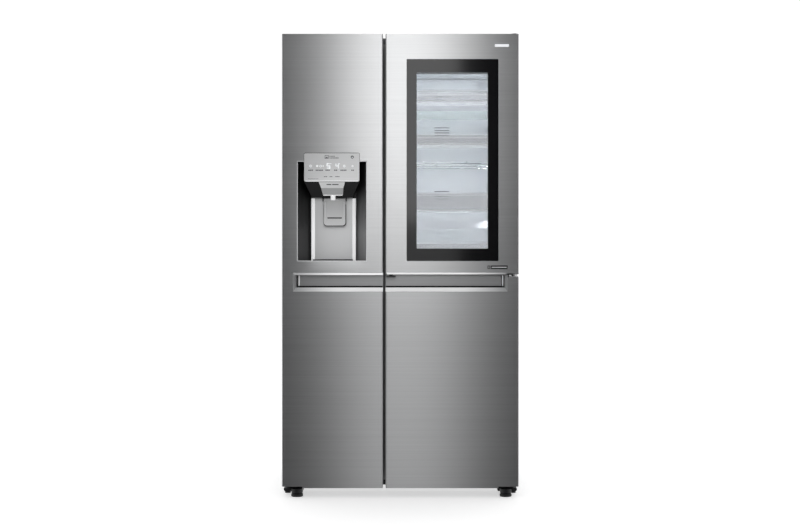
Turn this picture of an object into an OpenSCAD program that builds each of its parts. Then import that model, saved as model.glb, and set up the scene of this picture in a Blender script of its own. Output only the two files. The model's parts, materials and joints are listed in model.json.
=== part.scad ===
// Side by side refrigerator: two doors, ice and water dispenser, glazed door in door.
// Millimetres. X to the viewer's right, front faces -Y, Z up, origin on the floor under the middle.

/* [Overall] */
// Width across the two doors
body_w = 912; // [880:1:940]
// Height from the floor to the top of the hinge cover
body_h = 1790; // [1760:1:1820]
// Depth from the door fronts to the rear spacers
body_d = 738; // [720:1:760]

/* [Cabinet] */
// Sheet thickness of the outer case
sheet = 1.2; // [0.8:0.1:2]
// Wall thickness of the two food liners
liner_t = 2; // [1.5:0.5:3]
// Underside of the cabinet
case_z0 = 50; // [45:1:60]
// Left and right walls of the freezer compartment
freezer_x = [-400, -87]; // [-420:1:-60]
// Left and right walls of the fridge compartment
fridge_x = [-37, 400]; // [-60:1:420]
// Floor and ceiling of both compartments
cavity_z = [115, 1705]; // [100:1:1730]
// Height of the compartment floor over the machine space
step_z = 322; // [300:1:340]

/* [Doors] */
// Thickness of a door without its gasket
door_t = 112; // [100:1:120]
// Steel skin of the doors
skin = 1.5; // [1:0.1:2]
// Radius of the doors' front vertical edges
edge_r = 4; // [3:1:12]
// Bottom and top of the doors
door_z = [37, 1785]; // [30:1:1790]
// Sides of the freezer door
left_x = [-456, -67]; // [-470:1:-50]
// Sides of the fridge door
right_x = [-57, 456]; // [-70:1:470]
// Hinge axis of a main door, sideways and front to back
pivot = [432, -285]; // [-300:1:450]
// Hinge axis of the outer door
outer_pivot = [440, -350]; // [-360:1:450]
// Bottom of the outer door
outer_z = 860; // [855:1:870]
// Thickness of the outer door without its gasket
outer_t = 52; // [45:1:60]
// Window glass area, left, right, bottom, top
glass = [24, 377.5, 911, 1688]; // [20:0.5:1700]
// Clear part of the window, left, right, bottom, top
clear = [63, 337, 959, 1636]; // [60:0.5:1650]
// Opening of the door behind the outer door, left, right, bottom, top
did = [-5, 380, 895, 1680]; // [-10:1:1760]

/* [Handles and dispenser] */
// Bottom and top of the handle groove
groove_z = [808, 857]; // [800:1:870]
// Depth of the handle groove
groove_d = 40; // [30:1:45]
// Dispenser recess, left, right, bottom, top
recess = [-395.5, -130.7, 912, 1294]; // [-400:0.1:1300]
// Control panel, left, right, bottom, top
panel = [-370.4, -157.4, 1217, 1326]; // [-400:0.1:1340]
// Depth of the dispenser recess
recess_d = 86; // [70:1:92]

/* [Storage] */
// Heights of the fridge shelves
fridge_shelf_z = [598, 826, 1058, 1400, 1523]; // [580:1:1600]
// Heights of the freezer shelves
freezer_shelf_z = [598, 750, 950, 1200, 1450]; // [580:1:1600]
// Floors of the outer door's baskets
did_basket_z = [899, 1106, 1363, 1533]; // [895:1:1600]
// Heights of those baskets
did_basket_h = [82, 70, 42, 43]; // [30:1:90]
// Floors of the freezer door's baskets
freezer_basket_z = [640, 850, 1060]; // [600:1:1200]

/* [Hidden] */
$fn = 48;
e = 1;
hw = body_w / 2;
front_y = -body_d / 2;
case_x = hw - 2;
case_front = front_y + door_t + 10;
case_back = body_d / 2 - 16;
case_z1 = body_h - 25;
door_back = front_y + door_t;
liner_back = 285;
step_y = 100;
machine = [-400, 400, 150, 270];
outer_back = front_y + outer_t;
frame_y = outer_back + 9;
bar_z = 1785.5;
pin_r = 5;
pin_fit = 0.05;
leg_x = [-400, 408];
leg_y = -330;

// ---------- shared shapes ----------

module box3(x0, x1, y0, y1, z0, z1) {
    translate([x0, y0, z0]) cube([x1 - x0, y1 - y0, z1 - z0]);
}

// Side profile (Y, Z) drawn out along X
module along_x(x0, x1) {
    translate([x0, 0, 0]) rotate([90, 0, 90]) linear_extrude(x1 - x0) children();
}

// Front profile (X, Z) drawn out along Y
module along_y(y0, y1) {
    translate([0, y1, 0]) rotate([90, 0, 0]) linear_extrude(y1 - y0) children();
}

// Plan profile (X, Y) drawn out along Z
module along_z(z0, z1) {
    translate([0, 0, z0]) linear_extrude(z1 - z0) children();
}

module rect(x0, x1, y0, y1) {
    translate([x0, y0]) square([x1 - x0, y1 - y0]);
}

// Rectangle with four rounded corners
module round_rect(x0, x1, y0, y1, r) {
    rect(x0 + r, x1 - r, y0, y1);
    rect(x0, x1, y0 + r, y1 - r);
    for (x = [x0 + r, x1 - r], y = [y0 + r, y1 - r]) translate([x, y]) circle(r);
}

// Plan of a door: the two front corners are rounded
module door_plan(x0, x1, y0, y1, r) {
    rect(x0 + r, x1 - r, y0, y1);
    rect(x0, x1, y0 + r, y1);
    for (x = [x0 + r, x1 - r]) translate([x, y0 + r]) circle(r);
}

// Rectangular ring seen from the front
module ring(x0, x1, z0, z1, wide, r) {
    difference() {
        round_rect(x0, x1, z0, z1, r);
        round_rect(x0 + wide, x1 - wide, z0 + wide, z1 - wide, max(1, r - wide));
    }
}

module rod_x(x0, x1, y, z, r) {
    translate([x0, y, z]) rotate([0, 90, 0]) cylinder(h = x1 - x0, r = r);
}

module rod_y(x, y0, y1, z, r) {
    translate([x, y1, z]) rotate([90, 0, 0]) cylinder(h = y1 - y0, r = r);
}

module rod_z(x, y, z0, z1, r) {
    translate([x, y, z0]) cylinder(h = z1 - z0, r = r);
}

// Open-topped box with a flat floor
module tray(x0, x1, y0, y1, z0, z1, wall) {
    difference() {
        box3(x0, x1, y0, y1, z0, z1);
        box3(x0 + wall, x1 - wall, y0 + wall, y1 - wall, z0 + wall, z1 + e);
    }
}

// ---------- cabinet ----------

// Food compartment with its step over the machine space, drawn in by i
module compartment(span, i, y0) {
    intersection() {
        along_x(span[0] + i, span[1] - i)
            polygon([[y0, cavity_z[0] + i], [step_y - i, cavity_z[0] + i],
                [step_y - i, step_z + i], [liner_back - i, step_z + i],
                [liner_back - i, cavity_z[1] - i], [y0, cavity_z[1] - i]]);
        along_y(y0 - e, liner_back)
            round_rect(span[0] + i, span[1] - i, cavity_z[0] + i, cavity_z[1] - i, 24 - i);
    }
}

module machine_space(y1) {
    box3(machine[0], machine[1], machine[2], y1, case_z0 - e, machine[3]);
}

// Steel wrap: sides, top, back, floor and the front flange around both openings
module outer_case() {
    color("silver") difference() {
        box3(-case_x, case_x, case_front, case_back, case_z0, case_z1);
        box3(-case_x + sheet, case_x - sheet, case_front + sheet, case_back - sheet,
            case_z0 + sheet, case_z1 - sheet);
        compartment(freezer_x, 0, case_front - e);
        compartment(fridge_x, 0, case_front - e);
        machine_space(case_back + e);
    }
}

// Foam between the case and the liners
module insulation() {
    color("khaki") difference() {
        box3(-case_x + sheet, case_x - sheet, case_front + sheet, case_back - sheet,
            case_z0 + sheet, case_z1 - sheet);
        compartment(freezer_x, 0, case_front - e);
        compartment(fridge_x, 0, case_front - e);
        machine_space(case_back + e);
    }
}

// Moulded liner with the ribs that carry its shelves
module food_liner(span, shelf_z) {
    difference() {
        compartment(span, 0, case_front);
        compartment(span, liner_t, case_front - e);
    }
    for (z = shelf_z, side = [0, 1])
        translate([side == 0 ? span[0] + liner_t - 0.5 : span[1] - liner_t - 4.5, -126, z - 6])
            cube([5, 340, 5.5]);
}

module freezer_liner() {
    color("white") food_liner(freezer_x, freezer_shelf_z);
}

module fridge_liner() {
    color("white") food_liner(fridge_x, fridge_shelf_z);
}

// Steel rails, front member, compressor pan and the roller forks under the cabinet
module base_frame() {
    color("dimgray") {
        for (s = [-1, 1]) {
            x0 = s > 0 ? 404 : -446;
            difference() {
                union() {
                    box3(x0, x0 + 42, -243, 345, 30, case_z0);
                    box3(x0, x0 + 42, -228, -192, 8, 31);
                    box3(x0, x0 + 42, 280, 320, 8, 31);
                }
                box3(x0 + 3, x0 + 39, -240, 342, 0, case_z0 - 4);
            }
            rod_x(x0 + 2.5, x0 + 39.5, -210, 15.5, 4);
            rod_x(x0 + 2.5, x0 + 39.5, 300, 18, 4);
        }
        difference() {
            box3(-404, 404, -243, -203, 30, case_z0);
            box3(-404 - e, 404 + e, -240, -206, 20, case_z0 - 4);
        }
        box3(-404, 404, 152, 345, case_z0 - 4, case_z0);
        box3(-404, 404, 342, 345, 36, case_z0);
    }
}

// Plastic cover along the front of the top, over both hinges
module top_cover() {
    color("dimgray") difference() {
        along_x(-450, 450)
            polygon([[-246, case_z1], [-246, body_h - 6], [-240, body_h], [-156, body_h],
                [-150, body_h - 6], [-150, case_z1]]);
        box3(-448, 448, -244, -152, case_z1 - e, body_h - 6);
        box3(-448, 448, -238, -158, case_z1, body_h - 1.2);
        for (s = [-1, 1]) box3(s * pivot[0] - 14, s * pivot[0] + 14, -250, -200, case_z1 - e, body_h - 1.2);
    }
}

// Steel arms reaching forward over the doors, each with a pin down into its door
module top_hinges() {
    color("gainsboro") for (s = [-1, 1]) {
        difference() {
            union() {
                box3(s * 415 - 30, s * 415 + 30, -225, -165, case_z1, bar_z);
                box3(s * 415 - 30, s * 415 + 30, -225, -165, bar_z, bar_z + 3);
                box3(s * pivot[0] - 11, s * pivot[0] + 11, pivot[1], -225, bar_z, bar_z + 3);
                rod_z(s * pivot[0], pivot[1], bar_z, bar_z + 3, 11);
                rod_z(s * pivot[0], pivot[1], door_z[1] - 43, bar_z + e, pin_r);
            }
            for (dy = [-210, -180], dx = [-15, 5])
                rod_z(s * 415 + dx, dy, bar_z - 12, bar_z + 4, 3.2);
        }
    }
}

// Formed brackets under the doors, with the lower pins and the leg sockets
module bottom_hinges() {
    color("black") for (k = [0, 1]) {
        s = k == 0 ? -1 : 1;
        lx = leg_x[k];
        difference() {
            union() {
                box3(s > 0 ? 380 : -452, s > 0 ? 452 : -380, -300, -243, 14, 30);
                box3(lx - 18, lx + 18, -325, -299, 14, 30);
                rod_z(lx, leg_y, 14, 30, 22.5);
                rod_z(s * 440, -278, 5, 14 + e, 12);
                box3(s > 0 ? 410 : -452, s > 0 ? 452 : -410, -330, -299, 22, 30);
                rod_z(s * pivot[0], pivot[1], 30, 42.4, 11);
                rod_z(s * pivot[0], pivot[1], 30, door_z[0] + 44, pin_r);
            }
            rod_z(lx, leg_y, 10, 31, 6 + pin_fit);
            for (dx = [-1, 1]) rod_y(s * 416 + dx * 20, -262, -240, 22, 2.6);
        }
    }
}

// Rear panels inside the two compartments, with their air slots
module freezer_duct_panel() {
    color("white") difference() {
        box3(-396, -91, 236, 240, 326, 1686);
        for (z = [980 : 18 : 1070], x = [-340, -230]) box3(x, x + 90, 230, 245, z, z + 6);
        for (z = [1500 : 18 : 1590], x = [-340, -230]) box3(x, x + 90, 230, 245, z, z + 6);
        rod_y(-243, 230, 245, 830, 58);
    }
}

module fridge_duct_panel() {
    color("white") difference() {
        union() {
            box3(20, 340, 268, 282, 326, 1700);
            box3(120, 240, 258, 268, 340, 1690);
        }
        for (z0 = [660, 880, 1140, 1420, 1570], k = [0 : 3])
            box3(140, 220, 250, 264, z0 + k * 16, z0 + k * 16 + 7);
    }
}

// Tempered glass and plastic plates
module freezer_shelves() {
    color("lightcyan") for (z = freezer_shelf_z) box3(-397, -90, -128, 232, z, z + 5);
}

module fridge_shelves() {
    color("lightcyan") {
        for (z = fridge_shelf_z) box3(-34, 397, -142, 252, z, z + 5);
        box3(-34, 397, -142, 96, 322, 327);
    }
}

// Moulded strips along the shelf fronts
module shelf_trims() {
    color("white") {
        for (z = freezer_shelf_z) box3(-397, -90, -135, -128, z - 8, z + 10);
        for (z = fridge_shelf_z) box3(-34, 397, -150, -142, z - (z == 1058 ? 14 : 8), z + 12);
        box3(-34, 397, -150, -142, 312, 328);
    }
}

// Chromed wire cradle for lying bottles
module bottle_rack() {
    color("silver") {
        for (y = [-120, 20, 160]) rod_x(-22.9, 385.9, y, 1306, 3.5);
        for (x = [-20 : 57.4 : 383]) rod_y(x, -130, 170, 1312.05, 2.5);
        for (x = [-26, 389], y = [-120, 160]) rod_z(x, y, 1303, 1399.5, 3);
    }
}

module light_covers() {
    color("white") {
        box3(110, 250, -100, 20, 1696, 1702.5);
        box3(-300, -190, -90, 10, 1696, 1702.5);
        for (x = [-34.5, 394.5]) box3(x, x + 3, -190, -176, 700, 1660);
    }
}

// Rounded steel shell on four rubber feet, with its terminal box and stubs
module compressor() {
    color("black") {
        translate([235, 250, 62]) rotate_extrude()
            polygon([[0, 0], [62, 0], [78, 14], [84, 34], [84, 96], [78, 124], [60, 146], [34, 156], [0, 158]]);
        box3(135, 335, 200, 300, 60, 65);
        for (x = [147, 323], y = [210, 290]) rod_z(x, y, case_z0, 61, 9);
        box3(136, 160, 225, 275, 90, 150);
        rod_z(235, 190, 130, 232, 4);
        rod_z(290, 250, 130, 240, 5);
    }
}

// Finned coil beside the fan, with the fan's ring and motor mount
module condenser() {
    color("dimgray") {
        for (x = [-330 : 12 : -66]) box3(x, x + 1, 172, 238, 58, 232);
        for (y = [188, 222], z = [76 : 28 : 216]) rod_x(-340, -54, y, z, 4);
        box3(-336, -60, 170, 240, case_z0, 58.5);
        difference() {
            box3(40, 44, 160, 340, case_z0, 250);
            rod_x(30, 50, 250, 150, 80);
        }
        rod_x(8, 38, 250, 150, 22);
        for (a = [0 : 120 : 240])
            translate([36, 250, 150]) rotate([a, 0, 0]) box3(-3, 7, -4, 4, 18, 84);
    }
}

// Finned coil behind the freezer's rear panel
module evaporator() {
    color("silver") {
        for (x = [-375 : 10 : -115]) box3(x, x + 1, 244, 280, 380, 720);
        for (z = [395 : 40 : 715]) rod_x(-388, -100, 262, z, 4);
    }
}

// Axial fan: hub and five pitched blades about Z
module fan(hub, tip, tall) {
    cylinder(h = tall, r = hub, center = true);
    for (a = [0 : 72 : 288])
        intersection() {
            rotate([0, 0, a]) translate([hub - 2, 0, 0]) rotate([32, 0, 0])
                translate([0, -hub * 0.9, -1]) cube([tip - hub + 4, hub * 1.8, 2]);
            cylinder(h = tall, r = tip, center = true);
        }
}

module evaporator_fan() {
    color("white") translate([-243, 251, 830]) rotate([90, 0, 0]) fan(16, 52, 14);
}

module condenser_fan() {
    color("black") translate([54, 250, 150]) rotate([0, 90, 0]) fan(20, 74, 18);
}

// Slotted steel cover over the machine space, with the bushing for the supply lead
module machine_cover() {
    color("gray") difference() {
        union() {
            box3(-412, 412, case_back, case_back + 1.5, 54, 282);
            box3(-384, 384, case_back, case_back + 9, 70, 262);
            rod_y(-340, case_back, body_d / 2 - 1, 110, 10);
        }
        box3(-382.5, 382.5, case_back - e, case_back + 7.5, 71.5, 260.5);
        rod_y(-340, case_back - 5, body_d / 2 + e, 110, 4);
        rod_y(-345, case_back - 5, body_d / 2 + e, 212, 11);
        for (g = [-250, -60, 130], k = [0 : 11])
            box3(g + k * 10, g + k * 10 + 5, case_back, case_back + 12, 100, 232);
        for (x = [-402, 402], z = [70, 250]) rod_y(x, case_back - 5, case_back + 5, z, 2.2);
    }
}

// Cover of the control electronics, and the two wall spacers
module control_box() {
    color("gray") {
        box3(-170, 170, case_back, body_d / 2 - 1, 1480, 1660);
        for (x = [-350, 318]) box3(x, x + 32, case_back, body_d / 2, 1650, 1690);
    }
}

// Solenoid valve with the water inlet
module water_valve() {
    color("white") difference() {
        union() {
            box3(-372, -318, 300, case_back - 2, 190, 235);
            rod_y(-345, 340, body_d / 2, 212, 10);
        }
        rod_y(-345, body_d / 2 - 16, body_d / 2 + e, 212, 3.2);
    }
}

// ---------- drawers ----------

// Clear bin with a thicker front and a finger lip
module drawer(x0, x1, y0, y1, z0, z1) {
    difference() {
        union() {
            box3(x0, x1, y0, y1, z0, z1);
            box3(x0 - 3, x1 + 3, y0 - 5, y0 + 3, z0, z1 + 6);
        }
        box3(x0 + 3, x1 - 3, y0 + 4, y1 - 3, z0 + 3, z1 + 10);
        box3((x0 + x1) / 2 - 60, (x0 + x1) / 2 + 60, y0 - 5 - e, y0, z1 - 30, z1 - 10);
    }
    box3(x0 + 1, x1 - 1, y0 + 1, y0 + 12, z1 - 1, z1 + 3);
}

module crisper_upper() {
    color("lightblue") drawer(-24, 387, -115, 245, 329, 572);
}

module crisper_lower() {
    color("lightblue") drawer(-24, 387, -115, 92, 127, 300);
}

module freezer_drawer_upper() {
    color("lightblue") drawer(-387, -100, -105, 225, 329, 572);
}

module freezer_drawer_lower() {
    color("lightblue") drawer(-387, -100, -105, 92, 127, 300);
}

// ---------- rollers and legs ----------

module roller(x, y, r) {
    difference() {
        union() {
            rod_x(x - 9, x + 9, y, r == 14 ? 15.5 : 18, r - 1.5);
            rod_x(x - 7, x + 7, y, r == 14 ? 15.5 : 18, r);
        }
        rod_x(x - 12, x + 12, y, r == 14 ? 15.5 : 18, 4 + pin_fit);
    }
}

module roller_front_left() {
    color("black") roller(-425, -210, 14);
}

module roller_front_right() {
    color("black") roller(425, -210, 14);
}

module roller_rear_left() {
    color("black") roller(-425, 300, 18);
}

module roller_rear_right() {
    color("black") roller(425, 300, 18);
}

// Screw foot: pad, hexagon and threaded stem
module levelling_leg(x) {
    translate([x, leg_y, 0]) {
        cylinder(h = 9.5, r = 23);
        translate([0, 0, 9]) cylinder(h = 1.5, r = 20);
        translate([0, 0, 10]) cylinder(h = 3, r = 11, $fn = 6);
        cylinder(h = 31, r = 6);
    }
}

module levelling_leg_left() {
    color("black") levelling_leg(leg_x[0]);
}

module levelling_leg_right() {
    color("black") levelling_leg(leg_x[1]);
}

// ---------- freezer door ----------

// Corner over the bottom bracket, s = -1 left, 1 right
module hinge_notch(s) {
    box3(s > 0 ? 377 : -hw - e, s > 0 ? hw + e : -377, front_y - e, case_front, door_z[0] - e, 43);
}

module door_pins(s) {
    rod_z(s * pivot[0], pivot[1], door_z[1] - 45, door_z[1] + e, pin_r + pin_fit);
    rod_z(s * pivot[0], pivot[1], door_z[0] - e, door_z[0] + 46, pin_r + pin_fit);
}

// Space taken by the groove moulding
module handle_block(x0, x1, z1) {
    box3(x0, x1, front_y, front_y + groove_d + 4, groove_z[0] - 16, z1);
}

// Finger space of the groove; its lips are bevelled at the bottom, top and closed end
module handle_space(open_x, end_x, z1, lip) {
    s = end_x > open_x ? 1 : -1;
    intersection() {
        along_x(min(open_x, end_x) - 20, max(open_x, end_x) + 20)
            polygon([[front_y - e, groove_z[0] - 15.3], [front_y + 12, groove_z[0]],
                [front_y + groove_d, groove_z[0]], [front_y + groove_d, z1],
                [front_y + lip * 0.7, z1], [front_y - e, z1 + lip * 1.2]]);
        along_z(groove_z[0] - 30, z1 + 20)
            polygon([[open_x - s * e, front_y - 2], [end_x + s * 12, front_y - 2],
                [end_x, front_y + 12], [end_x, front_y + groove_d], [open_x - s * e, front_y + groove_d]]);
    }
}

module dispenser_block() {
    box3(recess[0] - 2, recess[1] + 2, front_y, front_y + recess_d + 4, recess[2] - 2, recess[3] + 2);
    along_y(front_y, front_y + 30) round_rect(panel[0] - 1, panel[1] + 1, panel[2], panel[3] + 1, 5);
}

module freezer_door_skin() {
    color("silver") difference() {
        along_z(door_z[0], door_z[1]) door_plan(left_x[0], left_x[1], front_y, door_back - 3, edge_r);
        along_z(door_z[0] - e, door_z[1] + e)
            door_plan(left_x[0] + skin, left_x[1] - skin, front_y + skin, door_back, edge_r - skin);
        handle_block(-419, left_x[1] + e, 868);
        dispenser_block();
        hinge_notch(-1);
    }
}

module freezer_door_core() {
    color("dimgray") difference() {
        along_z(door_z[0], door_z[1])
            door_plan(left_x[0] + skin, left_x[1] - skin, front_y + skin, door_back - 2, edge_r - skin);
        handle_block(-419, left_x[1] + e, 868);
        dispenser_block();
        hinge_notch(-1);
        door_pins(-1);
    }
}

// Inner skin of a door with its two upright basket walls
module freezer_door_liner() {
    color("white") difference() {
        union() {
            box3(left_x[0], left_x[1], door_back - 2, door_back, door_z[0], door_z[1]);
            box3(-384, -372, door_back, -168, 600, 1340);
            box3(-132, -120, door_back, -168, 600, 1340);
            for (z = freezer_basket_z, x = [-374, -136]) box3(x, x + 4, -250, -175, z - 6, z - 0.5);
        }
        hinge_notch(-1);
    }
}

module gasket(x0, x1, z0, z1, y0, y1) {
    along_y(y0, y1) ring(x0, x1, z0, z1, 14, 10);
}

module freezer_gasket() {
    color("gray") gasket(-424, -71, 93, 1724, door_back, case_front - 1);
}

module freezer_handle() {
    color("silver") difference() {
        handle_block(-419, left_x[1], 868);
        handle_space(left_x[1], -402, groove_z[1], 8);
    }
}

// Door basket: floor, low walls and a rounded top rail on the room side
module basket(x0, x1, y0, y1, z0, tall) {
    tray(x0, x1, y0, y1, z0, z0 + tall, 3);
    box3(x0, x1, y1 - 5, y1, z0 + tall - 1, z0 + tall + 4);
}

module freezer_baskets() {
    color("lightblue") for (z = freezer_basket_z) basket(-371, -133, -256.5, -162, z, 90);
}

// ---------- dispenser ----------

// Open space of the recess: the side walls lean in towards the back
module recess_space() {
    along_z(recess[2], recess[3])
        polygon([[recess[0] - 0.6, front_y - e], [recess[1] + 0.6, front_y - e],
            [recess[1] - 41, front_y + recess_d], [recess[0] + 46, front_y + recess_d]]);
}

module panel_block(i, d) {
    along_y(front_y, front_y + d) round_rect(panel[0] - i, panel[1] + i, panel[2] - i, panel[3] + i, 5);
}

// Hood behind and below the control panel, narrowing downwards
module hood() {
    intersection() {
        along_x(recess[0], recess[1])
            polygon([[front_y + 5, panel[2] - 0.5], [front_y + 37, 1157], [front_y + recess_d + 1, 1157],
                [front_y + recess_d + 1, recess[3] + 1], [front_y + 14, recess[3] + 1],
                [front_y + 14, panel[2] - 0.5]]);
        along_y(front_y, front_y + recess_d + 2)
            polygon([[panel[0], recess[3] + 1], [panel[0], panel[2]], [-342, 1157], [-186, 1157],
                [panel[1], panel[2]], [panel[1], recess[3] + 1]]);
    }
}

module dispenser_housing() {
    color("#303030") {
        difference() {
            dispenser_block();
            recess_space();
            panel_block(0, 13);
        }
        difference() {
            hood();
            panel_block(0, 13);
        }
        for (x = [-302, -212]) {
            box3(x, x + 4, -327, -313, 1143, 1158);
            rod_x(x == -302 ? x + 3 : x - 5, x == -302 ? x + 9 : x + 1, -320, 1150, 2.5);
        }
    }
}

module dispenser_panel() {
    color("lightgray") panel_block(-0.3, 12.8);
}

// Ice spout in front of the hood and the nozzle under it
module dispenser_spout() {
    color("gray") {
        difference() {
            intersection() {
                along_y(front_y, front_y + 60)
                    polygon([[-314, 1215], [-213, 1215], [-220, 1192], [-222, 1166], [-298, 1166], [-305, 1192]]);
                along_x(-330, -200)
                    polygon([[front_y + 2, 1216], [front_y + 14, 1166], [front_y + 60, 1166], [front_y + 60, 1216]]);
            }
            hood();
        }
        difference() {
            rod_z(-260, front_y + 24, 1147, 1167, 9);
            rod_z(-260, front_y + 24, 1140, 1160, 6.5);
        }
    }
}

// Bright sheet at the back of the recess, rolled forward along both sides
module dispenser_back() {
    color("silver") along_z(recess[2] + 1, 1156) {
        rect(-334, -187, front_y + recess_d - 2.2, front_y + recess_d - 0.7);
        for (c = [-334, -187])
            intersection() {
                translate([c, front_y + recess_d - 14.7]) difference() {
                    circle(14);
                    circle(12.5);
                }
                rect(c < -300 ? c - 15 : c, c < -300 ? c : c + 15, front_y + recess_d - 14.7, front_y + recess_d);
            }
    }
}

// Push plate with raised rims, hung from two short pins
module dispenser_paddle() {
    color("gray") difference() {
        union() {
            along_y(-323, -318) {
                round_rect(-297, -213, 1049, 1140, 12);
                rect(-297, -213, 1100, 1150);
            }
            for (x = [-297, -217]) box3(x, x + 4, -327, -320, 1062, 1150);
            rod_x(-297, -213, -320, 1150, 5.5);
        }
        rod_x(-299, -211, -320, 1150, 2.5 + pin_fit);
        box3(-283, -227, -325, -321.5, 1077, 1080);
    }
}

module drip_tray() {
    color("#404040") difference() {
        box3(-338, -184, front_y + 9, front_y + 68, recess[2], recess[2] + 6);
        for (x = [-330 : 9 : -195]) box3(x, x + 5, front_y + 14, front_y + 63, recess[2] + 2, recess[2] + 7);
    }
}

// Ice maker case with its front cover and latch
module ice_maker() {
    color("white") {
        box3(-378, -122, door_back, -157, 1345, 1690);
        box3(-372, -128, -157.5, -153, 1360, 1675);
        box3(-150, -134, -154, -151, 1490, 1550);
    }
}

// ---------- fridge door ----------

module did_tube(i, y0, y1) {
    along_y(y0, y1) round_rect(did[0] - i, did[1] + i, did[2] - i, did[3] + i, 16 + i);
}

module fridge_door_skin() {
    color("silver") {
        difference() {
            along_z(door_z[0], 848) door_plan(right_x[0], right_x[1], front_y, door_back - 3, edge_r);
            along_z(door_z[0] - e, 848 - skin)
                door_plan(right_x[0] + skin, right_x[1] - skin, front_y + skin, door_back, edge_r - skin);
            box3(right_x[0] - e, right_x[1] + e, frame_y, door_back, 840, 849);
            handle_block(right_x[0] - e, 414, 856);
            hinge_notch(1);
        }
        difference() {
            along_z(840, door_z[1]) door_plan(right_x[0], right_x[1], frame_y, door_back - 3, 3);
            along_z(830, door_z[1] + e)
                door_plan(right_x[0] + skin, right_x[1] - skin, frame_y + skin, door_back, 1.5);
            box3(right_x[0] + skin, right_x[1] - skin, frame_y - e, frame_y + 5, 830, 848 - skin);
            did_tube(12, frame_y - e, door_back);
            box3(right_x[0] - e, right_x[0] + skin + e, frame_y - e, door_back, 839, 840);
        }
    }
}

module fridge_door_core() {
    color("dimgray") difference() {
        union() {
            along_z(door_z[0], 848 - skin)
                door_plan(right_x[0] + skin, right_x[1] - skin, front_y + skin, door_back - 2, edge_r - skin);
            along_z(800, door_z[1])
                door_plan(right_x[0] + skin, right_x[1] - skin, frame_y + skin, door_back - 2, 1.5);
        }
        handle_block(right_x[0] - e, 414, 856);
        did_tube(12, front_y, case_front);
        hinge_notch(1);
        door_pins(1);
    }
}

// Inner skin, basket walls and the tube around the outer door's storage
module fridge_door_liner() {
    color("white") {
        difference() {
            union() {
                box3(right_x[0], right_x[1], door_back - 2, door_back, door_z[0], door_z[1]);
                did_tube(12, frame_y, -170);
                box3(did[0] - 12, did[0], door_back, -170, 600, 900);
                box3(did[1], did[1] + 12, door_back, -170, 600, 900);
                box3(did[0] - 1, did[0] + 3, -250, -180, 634, 639.5);
                box3(did[1] - 3, did[1] + 1, -250, -180, 634, 639.5);
            }
            did_tube(0, frame_y - e, -160);
            hinge_notch(1);
        }
        for (k = [1 : 3], x = [did[0] - 1, did[1] - 3])
            box3(x, x + 4, -290, -185, did_basket_z[k] - 6, did_basket_z[k] - 0.5);
    }
}

module fridge_gasket() {
    color("gray") gasket(-53, 424, 93, 1724, door_back, case_front - 1);
}

module fridge_handle() {
    color("silver") difference() {
        handle_block(right_x[0], 414, 856);
        handle_space(right_x[0], 402, 857, 0);
    }
}

module fridge_baskets() {
    color("lightblue") {
        for (k = [0 : 3]) {
            side = k == 0 ? 8 : 2;
            basket(did[0] + side, did[1] - side, -300, -178, did_basket_z[k], did_basket_h[k]);
        }
        basket(did[0] + 2, did[1] - 2, -256.5, -172, 640, 110);
    }
}

// Lower plate on the shoulder, upper bracket, and the outer door's pins
module outer_hinges() {
    color("gainsboro") {
        along_z(848, 852) round_rect(418, 455, -367, -312, 4);
        rod_z(outer_pivot[0], outer_pivot[1], 852, outer_z - 0.6, 9);
        rod_z(outer_pivot[0], outer_pivot[1], 852, outer_z + 36, pin_r);
        difference() {
            union() {
                rod_z(outer_pivot[0], outer_pivot[1], bar_z, bar_z + 3, 12);
                along_z(bar_z, bar_z + 3)
                    polygon([[431, -358], [450, -343], [415, -298], [415, -288], [375, -288], [375, -306], [399, -306]]);
                box3(377, 413, -304, -290, door_z[1], bar_z + e);
                rod_z(outer_pivot[0], outer_pivot[1], door_z[1] - 42, bar_z + e, pin_r);
            }
            for (x = [384, 406]) rod_z(x, -297, door_z[1] - e, bar_z + 4, 2.6);
        }
    }
}

// ---------- outer door ----------

// Outside shape of the outer door drawn in by i, with the bevel along its bottom edge
module outer_shape(i, back) {
    intersection() {
        along_z(outer_z, door_z[1] + (i > 0 ? e : 0))
            door_plan(right_x[0] + i, right_x[1] - i, front_y + i, back, edge_r - i);
        along_x(right_x[0], right_x[1])
            polygon([[front_y + i, 1800], [front_y + i, outer_z + 6 + i * 0.6],
                [front_y + 6 + i * 0.6, outer_z + i], [back + e, outer_z + i], [back + e, 1800]]);
    }
}

module outer_pins() {
    rod_z(outer_pivot[0], outer_pivot[1], door_z[1] - 45, door_z[1] + e, pin_r + pin_fit);
    rod_z(outer_pivot[0], outer_pivot[1], outer_z - e, outer_z + 38, pin_r + pin_fit);
}

module glass_space(y0, y1) {
    along_y(y0, y1) round_rect(glass[0], glass[1], glass[2], glass[3], 4);
}

module latch_slot() {
    box3(-44, -28, -356, -344, outer_z - e, outer_z + 20);
}

module outer_door_skin() {
    color("silver") difference() {
        outer_shape(0, outer_back - 4);
        outer_shape(skin, outer_back);
        glass_space(front_y - e, front_y + 8);
        outer_pins();
        latch_slot();
    }
}

module outer_door_core() {
    color("dimgray") difference() {
        intersection() {
            outer_shape(skin, outer_back - 2);
            box3(-hw, hw, front_y, outer_back, outer_z, door_z[1]);
        }
        glass_space(front_y - e, front_y + 8);
        along_y(front_y, outer_back) round_rect(clear[0] - 7, clear[1] + 7, clear[2] - 7, clear[3] + 7, 4);
        outer_pins();
        latch_slot();
    }
}

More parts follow.
